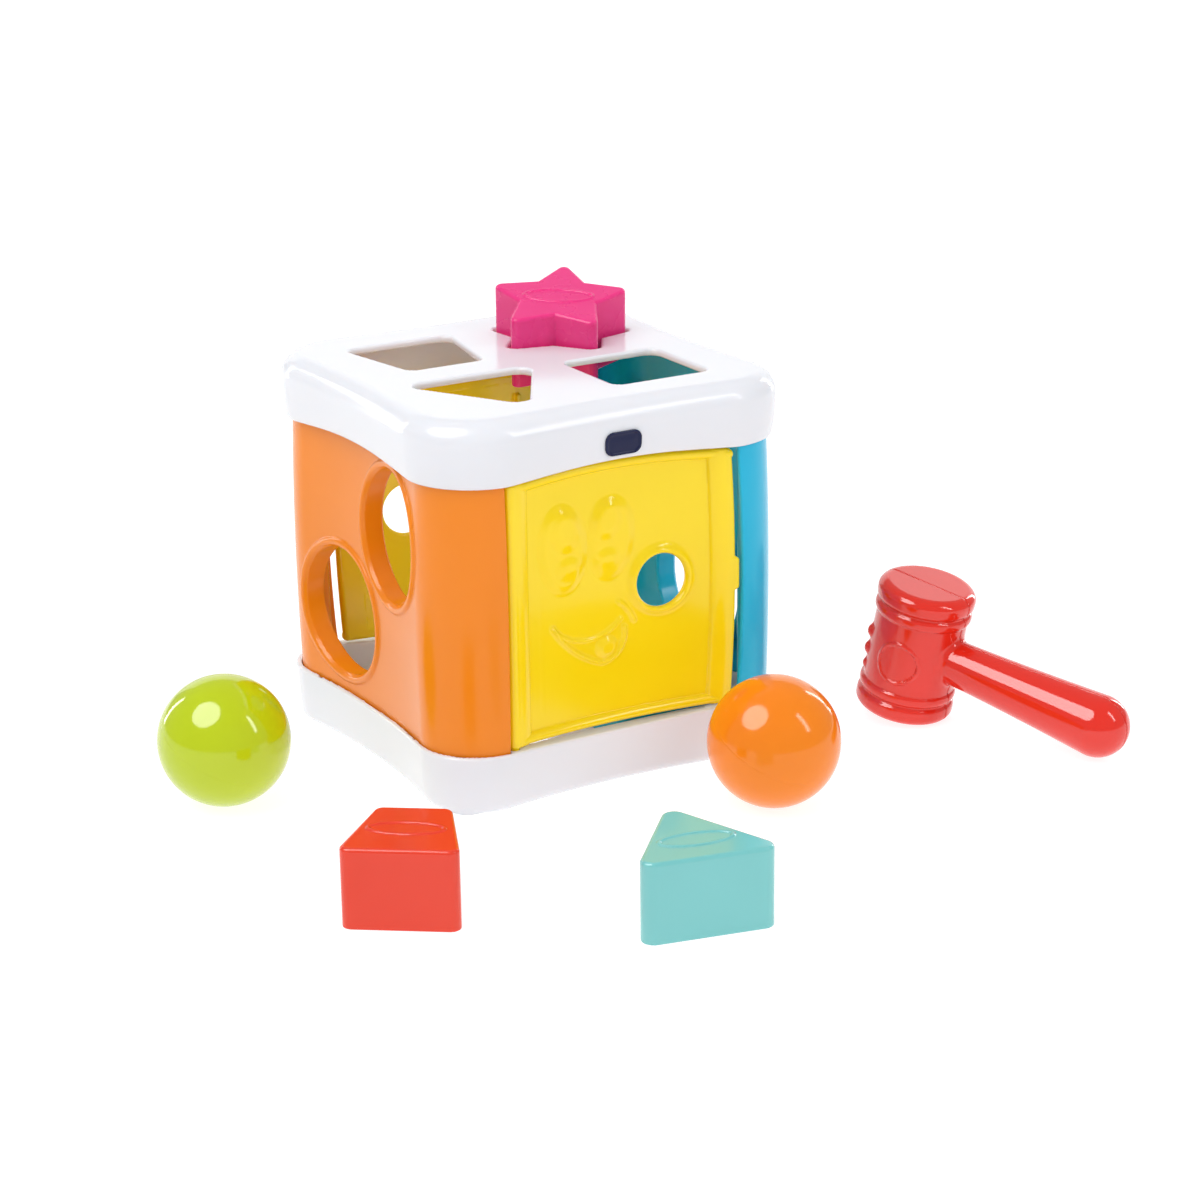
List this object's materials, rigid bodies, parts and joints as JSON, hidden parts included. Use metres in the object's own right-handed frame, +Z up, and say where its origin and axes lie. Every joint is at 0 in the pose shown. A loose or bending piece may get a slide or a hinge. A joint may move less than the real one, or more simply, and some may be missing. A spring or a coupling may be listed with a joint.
{
  "type": "shape sorter",
  "caption": "Toddler shape-sorting cube with shaped holes in its lid, hinged doors, oval side windows, sorting blocks, balls and a toy hammer.",
  "frame": {"origin": "middle of the cube's underside, on the surface it stands on", "axes": "+Z up, the front door faces -Y, the orange side faces -X, the blue side faces +X"},
  "size_m": [0.3706, 0.3131, 0.1874],
  "materials": {
    "white_plastic": "smooth glossy moulded plastic",
    "navy_plastic": "smooth glossy moulded plastic",
    "orange_plastic": "smooth glossy moulded plastic",
    "blue_plastic": "smooth glossy moulded plastic",
    "yellow_plastic": "smooth glossy moulded plastic",
    "pink_plastic": "smooth glossy moulded plastic",
    "coral_plastic": "smooth glossy moulded plastic",
    "aqua_plastic": "smooth glossy moulded plastic",
    "lime_plastic": "smooth glossy moulded plastic",
    "orange_ball_plastic": "smooth glossy moulded plastic",
    "red_plastic": "smooth glossy moulded plastic",
    "screw_steel": "zinc plated"
  },
  "bodies": {
    "cube": {"lid": "white_plastic", "lid_badge": "navy_plastic", "base_tray": "white_plastic", "base_screws": "screw_steel", "orange_side_panel": "orange_plastic", "blue_side_panel": "blue_plastic"},
    "front_door": {"front_door": "yellow_plastic"},
    "back_door": {"back_door": "yellow_plastic"},
    "star_block": {"star_block_shell": "pink_plastic", "star_block_cap": "pink_plastic"},
    "square_block": {"square_block_shell": "blue_plastic", "square_block_cap": "blue_plastic"},
    "trapezoid_block": {"trapezoid_block_shell": "coral_plastic", "trapezoid_block_cap": "coral_plastic"},
    "triangle_block": {"triangle_block_shell": "aqua_plastic", "triangle_block_cap": "aqua_plastic"},
    "green_ball": {"green_ball_top_half": "lime_plastic", "green_ball_bottom_half": "lime_plastic"},
    "orange_ball": {"orange_ball_top_half": "orange_ball_plastic", "orange_ball_bottom_half": "orange_ball_plastic"},
    "hammer": {"hammer_left_half": "red_plastic", "hammer_right_half": "red_plastic"}
  },
  "joints": [
    {"name": "front_door_hinge", "type": "hinge", "parent": "cube", "child": "front_door", "pos_m": [-0.0502, -0.07632, 0.0254], "axis": [0, 0, -1], "range_deg": [0, 100]},
    {"name": "back_door_hinge", "type": "hinge", "parent": "cube", "child": "back_door", "pos_m": [0.0502, 0.07632, 0.0254], "axis": [0, 0, -1], "range_deg": [0, 100]},
    {"name": "star_block_slide", "type": "slide", "parent": "cube", "child": "star_block", "axis": [-0.1073, -0.204, 0.9731], "range_m": [-0.055, 0.045]},
    {"name": "square_block_lift", "type": "slide", "parent": "cube", "child": "square_block", "axis": [0, 0, 1], "range_m": [0, 0.18]},
    {"name": "trapezoid_block_lift", "type": "slide", "parent": "cube", "child": "trapezoid_block", "axis": [0, 0, 1], "range_m": [0, 0.15]},
    {"name": "triangle_block_lift", "type": "slide", "parent": "cube", "child": "triangle_block", "axis": [0, 0, 1], "range_m": [0, 0.15]},
    {"name": "green_ball_lift", "type": "slide", "parent": "cube", "child": "green_ball", "axis": [0, 0, 1], "range_m": [0, 0.15]},
    {"name": "hammer_lift", "type": "slide", "parent": "cube", "child": "hammer", "axis": [0, 0, 1], "range_m": [0, 0.15]},
    {"name": "orange_ball_roll", "type": "slide", "parent": "cube", "child": "orange_ball", "axis": [0.7071, -0.7071, 0], "range_m": [0, 0.106]}
  ],
  "couplings": [
    {"joint": "orange_ball_roll", "follows": "front_door_hinge", "m_per_rad": 0.06}
  ]
}
